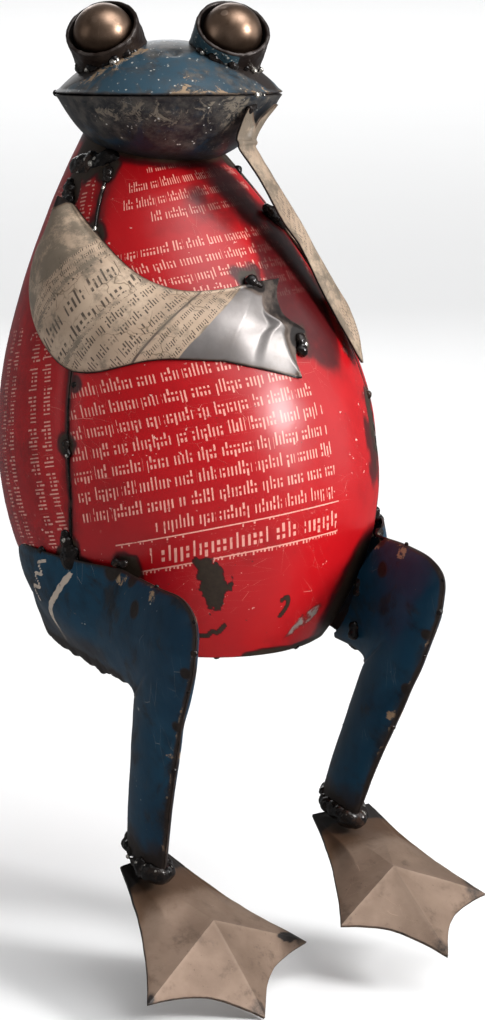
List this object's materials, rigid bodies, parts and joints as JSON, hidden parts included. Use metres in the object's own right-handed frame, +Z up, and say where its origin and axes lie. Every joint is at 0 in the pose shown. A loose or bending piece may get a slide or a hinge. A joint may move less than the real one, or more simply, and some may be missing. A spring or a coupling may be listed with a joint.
{
  "type": "sitting frog shelf figure",
  "caption": "Seated sheet-metal frog for a shelf edge: leaning pear body, lens head with ball eyes, one arm across the belly, one under the chin, hanging legs and webbed feet.",
  "frame": {"origin": "centre of the flat round seat in the underside of the body", "axes": "+Z up, the frog faces -Y, its own left side is +X, so its own right arm is at -X"},
  "size_m": [0.1799, 0.2339, 0.4313],
  "materials": {
    "red_enamel": "glossy red drum enamel, printed, scratched and burnt at the welds",
    "bare_tin": "dull bare sheet, heat stained",
    "blue_enamel": "dark blue drum enamel, chipped and scratched",
    "cup_steel": "dark bare steel, heat stained, with paint remains",
    "eye_steel": "polished steel balls, bronze heat colour",
    "printed_tin": "cream lacquered label tin, crazed and dirty, bare steel at the hand",
    "foot_steel": "bare grey-brown sheet steel, scuffed",
    "weld_metal": "black, glossy, lumpy arc-weld metal"
  },
  "bodies": {
    "root": {"front_body_panel": "red_enamel", "right_body_panel": "red_enamel", "left_body_panel": "red_enamel", "seat_plate": "bare_tin", "head_top": "blue_enamel", "lower_jaw": "blue_enamel", "right_eye_socket": "cup_steel", "left_eye_socket": "cup_steel", "right_eye_dome": "eye_steel", "left_eye_dome": "eye_steel", "right_arm": "printed_tin", "left_arm": "printed_tin", "right_leg_outer": "blue_enamel", "right_leg_inner": "blue_enamel", "left_leg_outer": "blue_enamel", "left_leg_inner": "blue_enamel", "right_foot": "foot_steel", "left_foot": "foot_steel", "body_seam_welds": "weld_metal", "neck_welds": "weld_metal", "mouth_weld": "weld_metal", "eye_welds": "weld_metal", "shoulder_welds": "weld_metal", "hand_welds": "weld_metal", "chin_weld": "weld_metal", "hip_welds": "weld_metal", "leg_seam_welds": "weld_metal", "ankle_welds": "weld_metal", "seat_welds": "weld_metal"}
  },
  "joints": []
}
